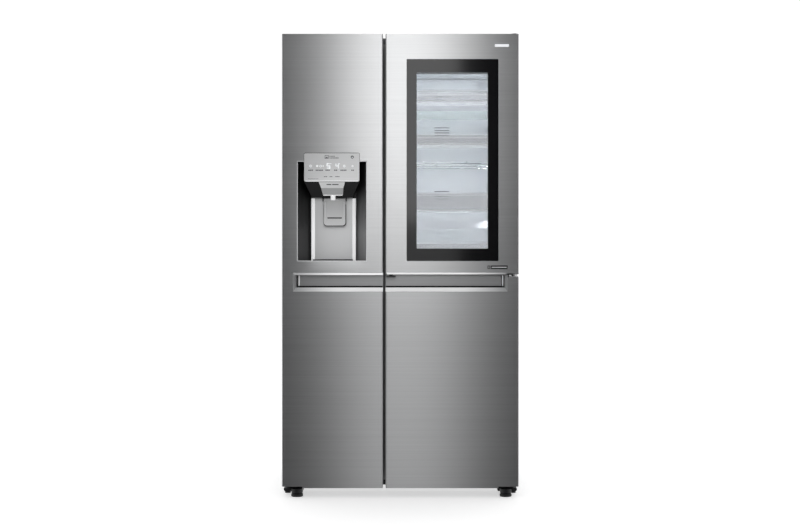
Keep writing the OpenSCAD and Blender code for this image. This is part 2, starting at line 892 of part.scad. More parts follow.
// Inner frame of the outer door
module outer_door_liner() {
    color("white") difference() {
        union() {
            box3(right_x[0], right_x[1], outer_back - 2, outer_back, outer_z, door_z[1]);
            box3(clear[0] - 16, clear[1] + 16, outer_back, outer_back + 4, clear[2] - 16, clear[3] + 16);
        }
        along_y(front_y, outer_back + 6) round_rect(clear[0] - 1, clear[1] + 1, clear[2] - 1, clear[3] + 1, 4);
    }
}

module outer_gasket() {
    color("gray") gasket(-38, 412, 864, 1776, outer_back, frame_y - 1);
}

// Dark printed glass around the window
module window_border() {
    color("black") difference() {
        glass_space(front_y, front_y + 8);
        along_y(front_y - e, front_y + 9) round_rect(clear[0], clear[1], clear[2], clear[3], 3);
    }
}

// Front and rear panes of the window
module window_panes() {
    color("lightcyan", 0.4) {
        along_y(front_y + 0.5, front_y + 4.5) round_rect(clear[0], clear[1], clear[2], clear[3], 3);
        along_y(outer_back - 7, outer_back - 3)
            round_rect(clear[0] - 7, clear[1] + 7, clear[2] - 7, clear[3] + 7, 4);
    }
}

// Finger latch under the outer door
module latch_lever() {
    color("black") {
        box3(-54, -18, -364, -338, 849, 854);
        box3(-43, -29, -355, -345, 854, 872);
    }
}

// ---------- assembly ----------

outer_case();
insulation();
freezer_liner();
fridge_liner();
base_frame();
top_cover();
top_hinges();
bottom_hinges();
freezer_duct_panel();
fridge_duct_panel();
freezer_shelves();
fridge_shelves();
shelf_trims();
bottle_rack();
light_covers();
compressor();
condenser();
evaporator();
machine_cover();
control_box();
water_valve();
crisper_upper();
crisper_lower();
freezer_drawer_upper();
freezer_drawer_lower();
evaporator_fan();
condenser_fan();
roller_front_left();
roller_front_right();
roller_rear_left();
roller_rear_right();
levelling_leg_left();
levelling_leg_right();
freezer_door_skin();
freezer_door_core();
freezer_door_liner();
freezer_gasket();
freezer_handle();
freezer_baskets();
dispenser_housing();
dispenser_panel();
dispenser_spout();
dispenser_back();
dispenser_paddle();
drip_tray();
ice_maker();
fridge_door_skin();
fridge_door_core();
fridge_door_liner();
fridge_gasket();
fridge_handle();
fridge_baskets();
outer_hinges();
outer_door_skin();
outer_door_core();
outer_door_liner();
outer_gasket();
window_border();
window_panes();
latch_lever();
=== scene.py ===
"""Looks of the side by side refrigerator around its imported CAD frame."""

import json
import math
from collections import namedtuple

import bpy
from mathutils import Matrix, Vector


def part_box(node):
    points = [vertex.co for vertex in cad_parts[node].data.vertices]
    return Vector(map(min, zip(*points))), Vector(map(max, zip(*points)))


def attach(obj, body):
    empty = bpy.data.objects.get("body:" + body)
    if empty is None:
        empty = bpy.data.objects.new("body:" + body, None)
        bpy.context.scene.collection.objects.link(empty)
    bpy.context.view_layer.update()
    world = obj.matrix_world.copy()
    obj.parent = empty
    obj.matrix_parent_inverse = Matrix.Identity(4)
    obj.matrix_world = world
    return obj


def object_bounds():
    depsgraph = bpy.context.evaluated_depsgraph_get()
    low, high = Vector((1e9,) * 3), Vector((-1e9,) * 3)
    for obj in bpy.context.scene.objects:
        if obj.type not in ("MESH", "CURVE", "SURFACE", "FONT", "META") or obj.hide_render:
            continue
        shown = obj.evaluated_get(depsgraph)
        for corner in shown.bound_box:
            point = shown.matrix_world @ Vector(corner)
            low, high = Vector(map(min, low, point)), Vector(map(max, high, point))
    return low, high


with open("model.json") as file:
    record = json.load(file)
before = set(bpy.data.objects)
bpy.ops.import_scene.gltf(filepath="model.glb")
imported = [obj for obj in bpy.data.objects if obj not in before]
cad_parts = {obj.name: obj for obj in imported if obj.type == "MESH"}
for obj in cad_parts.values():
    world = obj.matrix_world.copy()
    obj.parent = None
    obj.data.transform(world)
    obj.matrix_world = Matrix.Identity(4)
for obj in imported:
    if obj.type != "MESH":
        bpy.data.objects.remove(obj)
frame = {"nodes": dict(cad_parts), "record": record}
NODES = frame["nodes"]
RECORD = frame["record"]
SLOTS = {p["node"]: p["material_slot"] for p in RECORD["subparts"]}
CAD_LO, CAD_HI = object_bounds()
MM = 0.001

# ------------------------------------------------------------------ materials


class Mat:
    """A node material with short helpers for building its procedural detail."""

    def __init__(self, name, color, rough, metal=0.0):
        self.m = bpy.data.materials.new(name)
        self.m.use_nodes = True
        self.t = self.m.node_tree
        self.b = self.t.nodes["Principled BSDF"]
        self.b.inputs["Base Color"].default_value = (*color, 1)
        self.b.inputs["Roughness"].default_value = rough
        self.b.inputs["Metallic"].default_value = metal
        self.m.diffuse_color = (*color, 1)

    def add(self, kind, **values):
        n = self.t.nodes.new(kind)
        for k, v in values.items():
            setattr(n, k, v)
        return n

    def link(self, a, b):
        self.t.links.new(a, b)

    def coords(self, scale=(1, 1, 1)):
        c = self.add("ShaderNodeTexCoord")
        m = self.add("ShaderNodeMapping")
        m.inputs["Scale"].default_value = scale
        self.link(c.outputs["Object"], m.inputs["Vector"])
        return m.outputs["Vector"]

    def noise(self, scale, stretch=(1, 1, 1), detail=4.0):
        n = self.add("ShaderNodeTexNoise")
        n.inputs["Scale"].default_value = scale
        n.inputs["Detail"].default_value = detail
        self.link(self.coords(stretch), n.inputs["Vector"])
        return n.outputs["Fac"]

    def ramp(self, fac, stops):
        r = self.add("ShaderNodeValToRGB")
        els = r.color_ramp.elements
        while len(els) < len(stops):
            els.new(0.5)
        for el, (pos, col) in zip(els, stops):
            el.position = pos
            el.color = (*col, 1) if len(col) == 3 else col
        self.link(fac, r.inputs["Fac"])
        return r.outputs["Color"]

    def span(self, fac, lo, hi, a=0.0, b=1.0):
        r = self.add("ShaderNodeMapRange")
        r.inputs["From Min"].default_value = lo
        r.inputs["From Max"].default_value = hi
        r.inputs["To Min"].default_value = a
        r.inputs["To Max"].default_value = b
        self.link(fac, r.inputs["Value"])
        return r.outputs["Result"]

    def bump(self, fac, strength, distance=0.001):
        b = self.add("ShaderNodeBump")
        b.inputs["Strength"].default_value = strength
        b.inputs["Distance"].default_value = distance
        self.link(fac, b.inputs["Height"])
        self.link(b.outputs["Normal"], self.b.inputs["Normal"])

    def vary(self, fac, color, amount):
        """Base colour between slightly darker and slightly lighter."""
        low = tuple(max(0, c * (1 - amount)) for c in color)
        high = tuple(min(1, c * (1 + amount)) for c in color)
        self.link(self.ramp(fac, [(0.3, low), (0.7, high)]), self.b.inputs["Base Color"])


def brushed(name, color, rough=0.32, along=(1, 1, 1), streak=0.10, aniso=0.6):
    """Brushed metal: long fine grain, stretched along the brushing."""
    m = Mat(name, color, rough, 1.0)
    stretch = tuple(1.2 if a else 260 for a in along)
    fine = m.noise(3.0, stretch, 6)
    broad = m.noise(1.3, tuple(0.5 if a else 110 for a in along), 3)
    mix = m.add("ShaderNodeMath", operation="MULTIPLY_ADD")
    m.link(broad, mix.inputs[0])
    mix.inputs[1].default_value = 0.45
    half = m.add("ShaderNodeMath", operation="MULTIPLY")
    m.link(fine, half.inputs[0])
    half.inputs[1].default_value = 0.55
    m.link(half.outputs[0], mix.inputs[2])
    m.vary(mix.outputs[0], color, streak)
    m.link(m.span(fine, 0.3, 0.7, rough - 0.025, rough + 0.025), m.b.inputs["Roughness"])
    m.bump(fine, 0.03, 0.0002)
    m.b.inputs["Anisotropic"].default_value = aniso
    m.b.inputs["Anisotropic Rotation"].default_value = 0.25
    return m.m


def plastic(name, color, rough=0.4, grain=0.05, fine=900, amount=0.04, coat=0.0, spec=0.5):
    """Moulded plastic: faint mould grain and a little unevenness in gloss."""
    m = Mat(name, color, rough)
    g = m.noise(fine, (1, 1, 1), 3)
    cloud = m.noise(9, (1, 1, 1), 3)
    m.vary(cloud, color, amount)
    m.link(m.span(g, 0.3, 0.7, rough - 0.03, rough + 0.04), m.b.inputs["Roughness"])
    m.bump(g, grain, 0.0004)
    m.b.inputs["Coat Weight"].default_value = coat
    m.b.inputs["Specular IOR Level"].default_value = spec
    m.b.inputs["Coat Roughness"].default_value = 0.08
    return m.m


def painted(name, color, rough=0.42, peel=0.12):
    """Painted sheet metal with a light orange-peel surface."""
    m = Mat(name, color, rough)
    m.b.inputs["Metallic"].default_value = 0.15
    peel_fac = m.noise(420, (1, 1, 1), 2)
    m.vary(m.noise(5, (1, 1, 1), 4), color, 0.05)
    m.link(m.span(peel_fac, 0.3, 0.7, rough - 0.05, rough + 0.06), m.b.inputs["Roughness"])
    m.bump(peel_fac, peel, 0.0006)
    return m.m


def metal(name, color, rough=0.25, grain=0.05):
    """Bare metal with a faint uneven sheen."""
    m = Mat(name, color, rough, 1.0)
    n = m.noise(160, (1, 1, 1), 4)
    m.vary(n, color, 0.07)
    m.link(m.span(n, 0.3, 0.7, rough - 0.06, rough + 0.08), m.b.inputs["Roughness"])
    m.bump(n, grain, 0.0003)
    return m.m


def shaded(name, z0, color0, z1, color1, rough=0.35, metallic=0.0):
    """Satin plastic whose tone runs from one colour to another with height (metres), as painted shade."""
    m = Mat(name, color0, rough, metallic)
    c = m.add("ShaderNodeTexCoord")
    sep = m.add("ShaderNodeSeparateXYZ")
    m.link(c.outputs["Object"], sep.inputs[0])
    fac = m.span(sep.outputs["Z"], z0, z1)
    m.link(m.ramp(fac, [(0.0, color0), (1.0, color1)]), m.b.inputs["Base Color"])
    n = m.noise(300, (1, 1, 1), 3)
    m.link(m.span(n, 0.3, 0.7, rough - 0.03, rough + 0.04), m.b.inputs["Roughness"])
    m.bump(n, 0.02, 0.0003)
    return m.m


def clear(name, color, alpha, rough=0.08, edge=0.75, glow=0.0):
    """Clear plastic or glass: see-through face on, denser at grazing angles; any glow given is painted
    brightness.
    """
    m = Mat(name, color, rough)
    lw = m.add("ShaderNodeLayerWeight")
    lw.inputs["Blend"].default_value = 0.35
    scuff = m.noise(7, (1, 1, 1), 2)
    total = m.add("ShaderNodeMath", operation="MULTIPLY_ADD")
    m.link(lw.outputs["Facing"], total.inputs[0])
    total.inputs[1].default_value = edge - alpha
    m.link(m.span(scuff, 0.3, 0.7, alpha * 0.93, alpha * 1.07), total.inputs[2])
    m.link(total.outputs[0], m.b.inputs["Alpha"])
    m.link(m.span(m.noise(240, (1, 1, 1), 2), 0.3, 0.7, rough, rough + 0.04), m.b.inputs["Roughness"])
    m.vary(scuff, color, 0.03)
    m.b.inputs["Specular IOR Level"].default_value = 0.1
    if glow:
        m.b.inputs["Emission Color"].default_value = (*color, 1)
        m.b.inputs["Emission Strength"].default_value = glow
    return m.m


def glow(name, color, strength):
    """A pale piece that gives off a little light: real for the lamp cover and the lit panel symbols, painted
    light on the lips, the nozzle sleeve, the basket rims, the rolled edges and the nameplate.
    """
    m = Mat(name, color, 0.5)
    n = m.noise(14, (1, 1, 1), 2)
    m.vary(n, color, 0.02)
    m.b.inputs["Emission Color"].default_value = (*color, 1)
    m.b.inputs["Emission Strength"].default_value = strength
    return m.m


def lip(name, color, end_color, strength):
    """Painted highlight for a moulded lip: a pale glowing tone that fades to grey towards both sides of the
    doors.
    """
    m = Mat(name, color, 0.4)
    c = m.add("ShaderNodeTexCoord")
    sep = m.add("ShaderNodeSeparateXYZ")
    m.link(c.outputs["Object"], sep.inputs[0])
    side = m.add("ShaderNodeMath", operation="ABSOLUTE")
    m.link(sep.outputs["X"], side.inputs[0])
    tone = m.ramp(m.span(side.outputs[0], 0.24, 0.40), [(0.0, color), (1.0, end_color)])
    m.link(tone, m.b.inputs["Base Color"])
    m.link(tone, m.b.inputs["Emission Color"])
    m.b.inputs["Emission Strength"].default_value = strength
    m.bump(m.noise(300, (1, 1, 1), 2), 0.01, 0.0002)
    return m.m


M = {
    "door_steel": brushed("door_steel", (0.56, 0.565, 0.57), 0.30, (1, 1, 0), 0.06, 0.55),
    # Painted reflection: the recess back sheet is lighter low down and darker higher up.
    "back_steel": shaded("back_steel", 0.93, (0.58, 0.585, 0.59), 1.13, (0.54, 0.545, 0.55), 0.40, 1.0),
    "handle_metal": brushed("handle_metal", (0.42, 0.425, 0.43), 0.36, (1, 1, 0), 0.06, 0.3),
    # Pale trims and bars; on the paddle rims and the hinge pad this brightness is painted highlight.
    "pale_trim_and_painted_highlight": plastic("pale_trim_and_painted_highlight", (0.93, 0.94, 0.95), 0.25, 0.01, 900, 0.01),
    # Pale glowing material: painted highlight on bevelled lips, groove end edges and the nozzle sleeve.
    "pale_painted_glow": glow("pale_painted_glow", (0.92, 0.925, 0.93), 0.26),
    # Painted highlight on the groove lips and the outer door's lower lip, fading towards the sides.
    "groove_lip_painted_highlight": lip("groove_lip_painted_highlight", (0.95, 0.955, 0.96), (0.36, 0.365, 0.37), 0.30),
    "case_paint": painted("case_paint", (0.30, 0.305, 0.31), 0.45),
    "liner_white": plastic("liner_white", (0.875, 0.885, 0.915), 0.28, 0.02, 900, 0.010),
    "door_liner": plastic("door_liner", (0.85, 0.865, 0.895), 0.28, 0.02, 900, 0.010),
    "foam": plastic("foam", (0.72, 0.66, 0.42), 0.9, 0.6, 300),
    "base_steel": painted("base_steel", (0.018, 0.018, 0.02), 0.5),
    "cover_plastic": plastic("cover_plastic", (0.11, 0.112, 0.118), 0.5, 0.15, 700),
    "hinge_steel": metal("hinge_steel", (0.66, 0.66, 0.67), 0.3),
    "bracket_steel": painted("bracket_steel", (0.008, 0.008, 0.009), 0.45),
    "duct_plastic": plastic("duct_plastic", (0.875, 0.885, 0.91), 0.35, 0.03, 900, 0.010),
    # The glow on the glass shelves is painted brightness.
    "shelf_glass": clear("shelf_glass", (0.84, 0.94, 0.93), 0.16, 0.05, 0.6, 0.08),
    "trim_plastic": plastic("trim_plastic", (0.89, 0.905, 0.935), 0.3, 0.02, 900, 0.010),
    "rack_chrome": metal("rack_chrome", (0.85, 0.86, 0.88), 0.1, 0.02),
    "lamp_cover": glow("lamp_cover", (0.93, 0.96, 1.0), 1.2),
    "compressor_black": painted("compressor_black", (0.012, 0.012, 0.013), 0.35, 0.2),
    "coil_steel": painted("coil_steel", (0.02, 0.02, 0.022), 0.45),
    "coil_aluminium": metal("coil_aluminium", (0.72, 0.73, 0.75), 0.35),
    "rear_steel": painted("rear_steel", (0.22, 0.225, 0.23), 0.45),
    "rear_box": painted("rear_box", (0.26, 0.265, 0.27), 0.45),
    "valve_plastic": plastic("valve_plastic", (0.75, 0.75, 0.70), 0.45, 0.1),
    # The glow on these clear plastics is painted brightness.
    "clear_plastic": clear("clear_plastic", (0.88, 0.93, 0.97), 0.22, 0.10, 0.6, 0.06),
    "basket_clear": clear("basket_clear", (0.94, 0.955, 0.98), 0.20, 0.12, 0.5, 0.30),
    "fan_white": plastic("fan_white", (0.80, 0.81, 0.82), 0.4),
    "fan_black": plastic("fan_black", (0.02, 0.02, 0.022), 0.45),
    "roller_plastic": plastic("roller_plastic", (0.02, 0.02, 0.022), 0.55, 0.2),
    "leg_plastic": plastic("leg_plastic", (0.012, 0.012, 0.013), 0.5, 0.2),
    "door_cap": plastic("door_cap", (0.06, 0.062, 0.066), 0.5, 0.2, 600),
    "gasket_grey": plastic("gasket_grey", (0.22, 0.225, 0.23), 0.75, 0.3, 500),
    "recess_black": plastic("recess_black", (0.012, 0.012, 0.013), 0.34, 0.04, 900, 0.05, 0.0, 0.2),
    "panel_silver": brushed("panel_silver", (0.78, 0.785, 0.79), 0.42, (1, 1, 0), 0.03, 0.2),
    "spout_grey": plastic("spout_grey", (0.76, 0.765, 0.77), 0.32, 0.03, 900, 0.02, 0.2),
    # Painted shadow: the push plate darkens towards its top, under the nozzle hood.
    "paddle_grey": shaded("paddle_grey", 1.05, (0.80, 0.805, 0.81), 1.15, (0.45, 0.452, 0.455), 0.3),
    # Painted shade: a darker copy of the spout grey for the spout's lower slope.
    "spout_painted_shade": plastic("spout_painted_shade", (0.40, 0.405, 0.41), 0.34, 0.03, 900, 0.02, 0.2),
    "tray_dark": plastic("tray_dark", (0.04, 0.04, 0.042), 0.4, 0.15),
    "ice_case": plastic("ice_case", (0.85, 0.865, 0.89), 0.3, 0.02, 900, 0.010),
    "black_glass": plastic("black_glass", (0.006, 0.006, 0.007), 0.10, 0.0, 900, 0.05, 0.0, 0.5),
    "window_glass": clear("window_glass", (0.90, 0.94, 1.0), 0.05, 0.02, 0.5),
    "latch_black": plastic("latch_black", (0.015, 0.015, 0.016), 0.3, 0.05),
    # Lit panel symbols; on the top nameplate its glow is painted brightness.
    "ink_white": glow("ink_white", (0.95, 0.97, 1.0), 0.45),
    "ink_dark": plastic("ink_dark", (0.06, 0.062, 0.068), 0.5),
    "nozzle_white": plastic("nozzle_white", (0.85, 0.86, 0.87), 0.35),
    # Dark seams, slots and washer; also painted shadow in the groove gaps and over the control panel's top
    # edge.
    "dark_seam_and_painted_shadow": plastic("dark_seam_and_painted_shadow", (0.01, 0.01, 0.011), 0.6),
    # Painted shade on the recess side walls: darker towards the top, the left wall darker than the right.
    "cheek_grey_painted_shade": shaded("cheek_grey_painted_shade", 1.02, (0.26, 0.26, 0.265), 1.20, (0.014, 0.014, 0.015)),
    "cheek_dark_painted_shade": shaded("cheek_dark_painted_shade", 0.92, (0.058, 0.058, 0.06), 1.20, (0.004, 0.004, 0.004)),
    # Basket rims: white plastic with a faint painted glow.
    "rim_white_painted_glow": glow("rim_white_painted_glow", (0.93, 0.94, 0.96), 0.2),
    # Painted highlight on the rolled edges of the recess back sheet.
    "roll_painted_highlight": glow("roll_painted_highlight", (0.94, 0.945, 0.95), 0.42),
}


def bevel(node, width, segments=3):
    """Rounds a CAD node's edges in the render only (width in millimetres)."""
    mod = NODES[node].modifiers.new("edge", "BEVEL")
    mod.width = width * MM
    mod.segments = segments
    mod.limit_method = "ANGLE"
    mod.angle_limit = math.radians(40)
    mod.harden_normals = True


def dress_cad():
    """Puts each slot's material and the small edge bevels on the CAD nodes."""
    for name, obj in NODES.items():
        obj.data.materials.clear()
        obj.data.materials.append(M[SLOTS[name]])
    for name in ("freezer_handle", "fridge_handle", "dispenser_panel", "dispenser_spout", "dispenser_paddle",
                 "ice_maker", "shelf_trims", "window_border", "machine_cover", "control_box", "drip_tray"):
        bevel(name, 0.8)
    for name in ("bottom_hinges", "top_hinges", "outer_hinges", "latch_lever", "levelling_leg_left",
                 "levelling_leg_right"):
        bevel(name, 0.6, 2)
    for name in ("crisper_upper", "crisper_lower", "freezer_drawer_upper", "freezer_drawer_lower",
                 "freezer_baskets", "fridge_baskets", "freezer_shelves", "fridge_shelves"):
        bevel(name, 0.7, 2)


# ------------------------------------------------------------------ small makers


def mesh_object(name, verts, faces, material, body, bevel_mm=0.0):
    """One named visual mesh (metres) that rides a body."""
    me = bpy.data.meshes.new(name)
    me.from_pydata([tuple(v) for v in verts], [], faces)
    me.materials.append(M[material])
    me.validate()
    ob = bpy.data.objects.new(name, me)
    bpy.context.scene.collection.objects.link(ob)
    if bevel_mm:
        mod = ob.modifiers.new("edge", "BEVEL")
        mod.width = bevel_mm * MM
        mod.segments = 2
        mod.limit_method = "ANGLE"
        mod.harden_normals = True
    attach(ob, body)
    return ob


class Pieces:
    """Collects boxes, prisms and rods (millimetres) into one mesh."""

    def __init__(self):
        self.v, self.f = [], []

    def prism(self, front, y0, y1):
        """A front profile (X, Z) between two depths."""
        n, k = len(front), len(self.v)
        self.v += [(x * MM, y0 * MM, z * MM) for x, z in front]
        self.v += [(x * MM, y1 * MM, z * MM) for x, z in front]
        self.f.append(tuple(k + i for i in range(n)))
        self.f.append(tuple(k + n + i for i in reversed(range(n))))
        self.f += [(k + i, k + n + i, k + n + (i + 1) % n, k + (i + 1) % n) for i in range(n)]
        return self

    def box(self, x0, x1, y0, y1, z0, z1):
        return self.prism([(x0, z0), (x1, z0), (x1, z1), (x0, z1)], y0, y1)

    def ring(self, x0, x1, z0, z1, wide, y0, y1):
        """A rectangular frame seen from the front."""
        self.box(x0, x1, y0, y1, z1 - wide, z1)
        self.box(x0, x1, y0, y1, z0, z0 + wide)
        self.box(x0, x0 + wide, y0, y1, z0 + wide, z1 - wide)
        return self.box(x1 - wide, x1, y0, y1, z0 + wide, z1 - wide)

    def flat_ring(self, x0, x1, y0, y1, wide, z0, z1):
        """A rectangular frame seen from above."""
        self.box(x0, x1, y0, y0 + wide, z0, z1)
        self.box(x0, x1, y1 - wide, y1, z0, z1)
        self.box(x0, x0 + wide, y0 + wide, y1 - wide, z0, z1)
        return self.box(x1 - wide, x1, y0 + wide, y1 - wide, z0, z1)

    def disc(self, x, z, r, y0, y1, n=24):
        """A round plate seen from the front."""
        turns = [2 * math.pi * i / n for i in range(n)]
        return self.prism([(x + r * math.cos(t), z + r * math.sin(t)) for t in turns], y0, y1)

    def rod(self, a, b, r, n=12):
        """A round bar between two points."""
        a, b = Vector(a), Vector(b)
        d = (b - a).normalized()
        u = d.orthogonal().normalized()
        w = d.cross(u)
        k = len(self.v)
        for p in (a, b):
            for i in range(n):
                t = 2 * math.pi * i / n
                q = p + (u * math.cos(t) + w * math.sin(t)) * r
                self.v.append(tuple(c * MM for c in q))
        self.f.append(tuple(k + i for i in reversed(range(n))))
        self.f.append(tuple(k + n + i for i in range(n)))
        self.f += [(k + i, k + (i + 1) % n, k + n + (i + 1) % n, k + n + i) for i in range(n)]
        return self

    def make(self, name, material, body, slot=None, bevel_mm=0.0):
        return mesh_object(name, self.v, self.f, material, body, bevel_mm)


Box = namedtuple("Box", "x0 x1 y0 y1 z0 z1")


def mm_box(node):
    """A node's box at rest, in millimetres."""
    lo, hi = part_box(node)
    return Box(*(c / MM for c in (lo.x, hi.x, lo.y, hi.y, lo.z, hi.z)))


def thicken(ob):
    """Gives a sheet its metal thickness, to both sides."""
    mod = ob.modifiers.new("thickness", "SOLIDIFY")
    mod.thickness = 0.4 * MM
    mod.offset = 0


def quad(name, corners, material, body, flip=False):
    """One four-sided sheet through four corners (millimetres)."""
    verts = [tuple(c * MM for c in p) for p in corners]
    order = (3, 2, 1, 0) if flip else (0, 1, 2, 3)
    mesh_object(name, verts, [order], material, body)


def sheet_strip(name, profile, x0, x1, material, body):
    """A thin strip following a (Y, Z) line between two X positions; ends may differ per point."""
    v, f = [], []
    for (y, z), a, b in zip(profile, x0, x1):
        v += [(a * MM, y * MM, z * MM), (b * MM, y * MM, z * MM)]
    for i in range(len(profile) - 1):
        f.append((2 * i, 2 * i + 1, 2 * i + 3, 2 * i + 2))
    thicken(mesh_object(name, v, f, material, body))


# ------------------------------------------------------------------ door fronts

FRONT = CAD_LO.y / MM
LIP_DEPTH, LIP_RISE = 12.2, 15.2


def grooves():
    """Bevelled lips round both handle grooves and along the outer door's lower edge, bright with painted
    highlight.
    """
    left, right, outer = mm_box("freezer_handle"), mm_box("fridge_handle"), mm_box("outer_door_skin")
    front, low = left.y0 - 0.3, left.z0 + 1.6
    back, rise = front + LIP_DEPTH, low + LIP_RISE
    inner, top = left.x0 + 17, left.z1 - 11
    edge = inner - 12
    both = (left.x1, left.x1)
    sheet_strip("freezer_groove_lower_lip", [(front, low), (back, rise)], (edge, inner), both,
                "groove_lip_painted_highlight", "freezer_door")
    sheet_strip("freezer_groove_upper_lip", [(front + 5.6, top + 0.2), (front, top + 8.6)],
                (inner - 6, edge), both, "groove_lip_painted_highlight", "freezer_door")
    quad("freezer_groove_end_lip",
         [(edge, front, low), (inner, back, rise), (inner, back, top), (edge, front, top + 8)],
         "handle_metal", "freezer_door")
    end = right.x1 - 12
    sheet_strip("fridge_groove_lower_lip", [(front, low), (back, rise)],
                (right.x0, right.x0), (right.x1, end), "groove_lip_painted_highlight", "fridge_door")
    quad("fridge_groove_end_lip",
         [(right.x1, front, low), (end, back, rise), (end, back, right.z1), (right.x1, front, right.z1)],
         "handle_metal", "fridge_door", flip=True)
    pivot_side = 406
    sheet_strip("outer_door_lower_lip",
                [(outer.y0 + 6, outer.z0 - 0.2), (outer.y0 - 0.3, outer.z0 + 6.2)],
                (outer.x0 + 6, outer.x0 + 4), (pivot_side, pivot_side),
                "groove_lip_painted_highlight", "outer_door")


def groove_shadows():
    """Painted shadow: dark gap lines where the groove mouldings meet their back walls; and painted highlight
    on their bright end edges.
    """
    for node, body in (("freezer_handle", "freezer_door"), ("fridge_handle", "fridge_door")):
        b = mm_box(node)
        freezer = body == "freezer_door"
        run = (b.x0 + 18, b.x1 - 1) if freezer else (b.x0 + 1, b.x1 - 13)
        end = (b.x0 + 20.6, b.x0 + 24.4) if freezer else (b.x1 - 15.4, b.x1 - 12.1)
        edge = (end[1], end[1] + 4.6) if freezer else (end[0] - 4.6, end[0])
        floor, line, top = b.z0 + 16, b.z0 + 23, b.z0 + 63
        wall = b.y1 - 4.2
        gap = Pieces().box(*run, b.y1 - 5.2, b.y1 - 3.9, floor, line)
        gap.box(*end, b.y0 + 14, wall, floor + 0.6, top)
        if not freezer:
            gap.box(b.x1 - 23.4, b.x1 - 20.2, b.y1 - 7, wall, line, top)
        gap.make(node + "_shadow_gap", "dark_seam_and_painted_shadow", body, "latch_black")
        # The groove end edges glow pale as painted highlight.
        Pieces().box(*edge, b.y1 - 8, wall, line + 0.2, top).make(
            node + "_end_edge", "pale_painted_glow", body, "handle_metal", 0.6)


def pivot_block():
    """Dark washer and bright pad between the two doors at the lower outer hinge; the pad's brightness is
    painted highlight.
    """
    b = mm_box("outer_hinges")
    Pieces().box(b.x1 - 40.5, b.x1 - 24.2, b.y0 + 0.4, b.y0 + 15, b.z0 + 4.3, b.z0 + 11.2).make(
        "pivot_block", "dark_seam_and_painted_shadow", "fridge_door", "latch_black", 0.3)
    Pieces().box(b.x1 - 37, b.x1 - 27.5, b.y0 - 0.3, b.y0 + 1, b.z0 + 6, b.z0 + 9.6).make(
        "pivot_pad", "pale_trim_and_painted_highlight", "fridge_door", "handle_metal", 0.2)


def nameplates():
    """Plain plates where the door carries its marks, lined up with the window's right edge."""
    door = mm_box("outer_door_skin")
    y0, z0, z1 = door.y0, door.z0, door.z1
    x = mm_box("window_border").x1
    badge = Pieces().ring(x - 42, x - 32, z0 + 20.5, z0 + 33.5, 2.6, y0 - 0.5, y0 + 0.5)
    badge.box(x - 30, x + 35, y0 - 0.5, y0 + 0.5, z0 + 20, z0 + 34)
    badge.make("outline_badge", "latch_black", "outer_door", "latch_black", 0.2)
    Pieces().box(x - 26, x + 31, y0 - 0.8, y0, z0 + 25.5, z0 + 28.5).make(
        "badge_bar", "pale_trim_and_painted_highlight", "outer_door", "handle_metal")
    # The top plate's glowing white is painted brightness; the plate itself is no lamp.
    Pieces().box(x - 14, x + 40, y0 - 0.7, y0 + 0.5, z1 - 50, z1 - 40).make(
        "plain_nameplate", "ink_white", "outer_door", "handle_metal", 0.4)


# ------------------------------------------------------------------ dispenser

NOZZLE_X, NOZZLE_Y = -260, FRONT + 24


def dispenser_trim():
    """Light line round the recess, and a glowing pale lip under the control panel, on the spout and round
    the nozzle, as painted highlight.
    """
    recess, panel = mm_box("dispenser_housing"), mm_box("dispenser_panel")
    wide, proud = 2.6, 0.6
    top, f = recess.z0 + 386, recess.y0 - proud
    p = Pieces()
    p.box(recess.x0, recess.x0 + wide, f, f + 3, recess.z0, top)
    p.box(recess.x1 - wide, recess.x1, f, f + 3, recess.z0, top)
    p.box(recess.x0, recess.x1, f, f + 3, recess.z0, recess.z0 + wide)
    p.box(recess.x0, panel.x0 - 0.8, f, f + 3, top - wide, top)
    p.box(panel.x1 + 0.8, recess.x1, f, f + 3, top - wide, top)
    p.make("recess_trim", "pale_trim_and_painted_highlight", "freezer_door", "panel_silver", 0.3)
    low = [(panel.x0 + 6, panel.z0 - 0.5), (panel.x1 - 6, panel.z0 - 0.5),
           (panel.x1 - 3, panel.z0 + 3), (panel.x0 + 3, panel.z0 + 3)]
    Pieces().prism(low, recess.y0 - 1.2, recess.y0 + 1).make(
        "panel_lip", "pale_painted_glow", "freezer_door", "panel_silver", 0.4)
    Pieces().box(-297, -223, FRONT + 12, FRONT + 17, 1163.5, 1166).make(
        "spout_lip", "pale_painted_glow", "freezer_door", "panel_silver", 0.4)
    Pieces().rod((NOZZLE_X, NOZZLE_Y, 1146.2), (NOZZLE_X, NOZZLE_Y, 1165), 9.3, 32).make(
        "nozzle_sleeve", "pale_painted_glow", "freezer_door", "spout_grey", 0.8)


def recess_cheek():
    """Satin sheets on the two side walls of the recess, with painted shade: darker towards the top, the left
    wall darker than the right.
    """
    recess, back = mm_box("dispenser_housing"), mm_box("dispenser_back")
    y0, y1 = recess.y0 + 1.5, recess.y1 - 6.5
    z0, z1 = recess.z0 + 3, recess.z0 + 374.5
    a, b = recess.x1 - 3.2, back.x1 + 1.5
    quad("recess_cheek", [(a, y0, z0), (b, y1, z0), (b, y1, z1), (a, y0, z1)],
         "cheek_grey_painted_shade", "freezer_door")
    a, b = recess.x0 + 3.2, back.x0 - 1.5
    quad("recess_cheek_left", [(a, y0, z0), (b, y1, z0), (b, y1, z1), (a, y0, z1)],
         "cheek_dark_painted_shade", "freezer_door", flip=True)


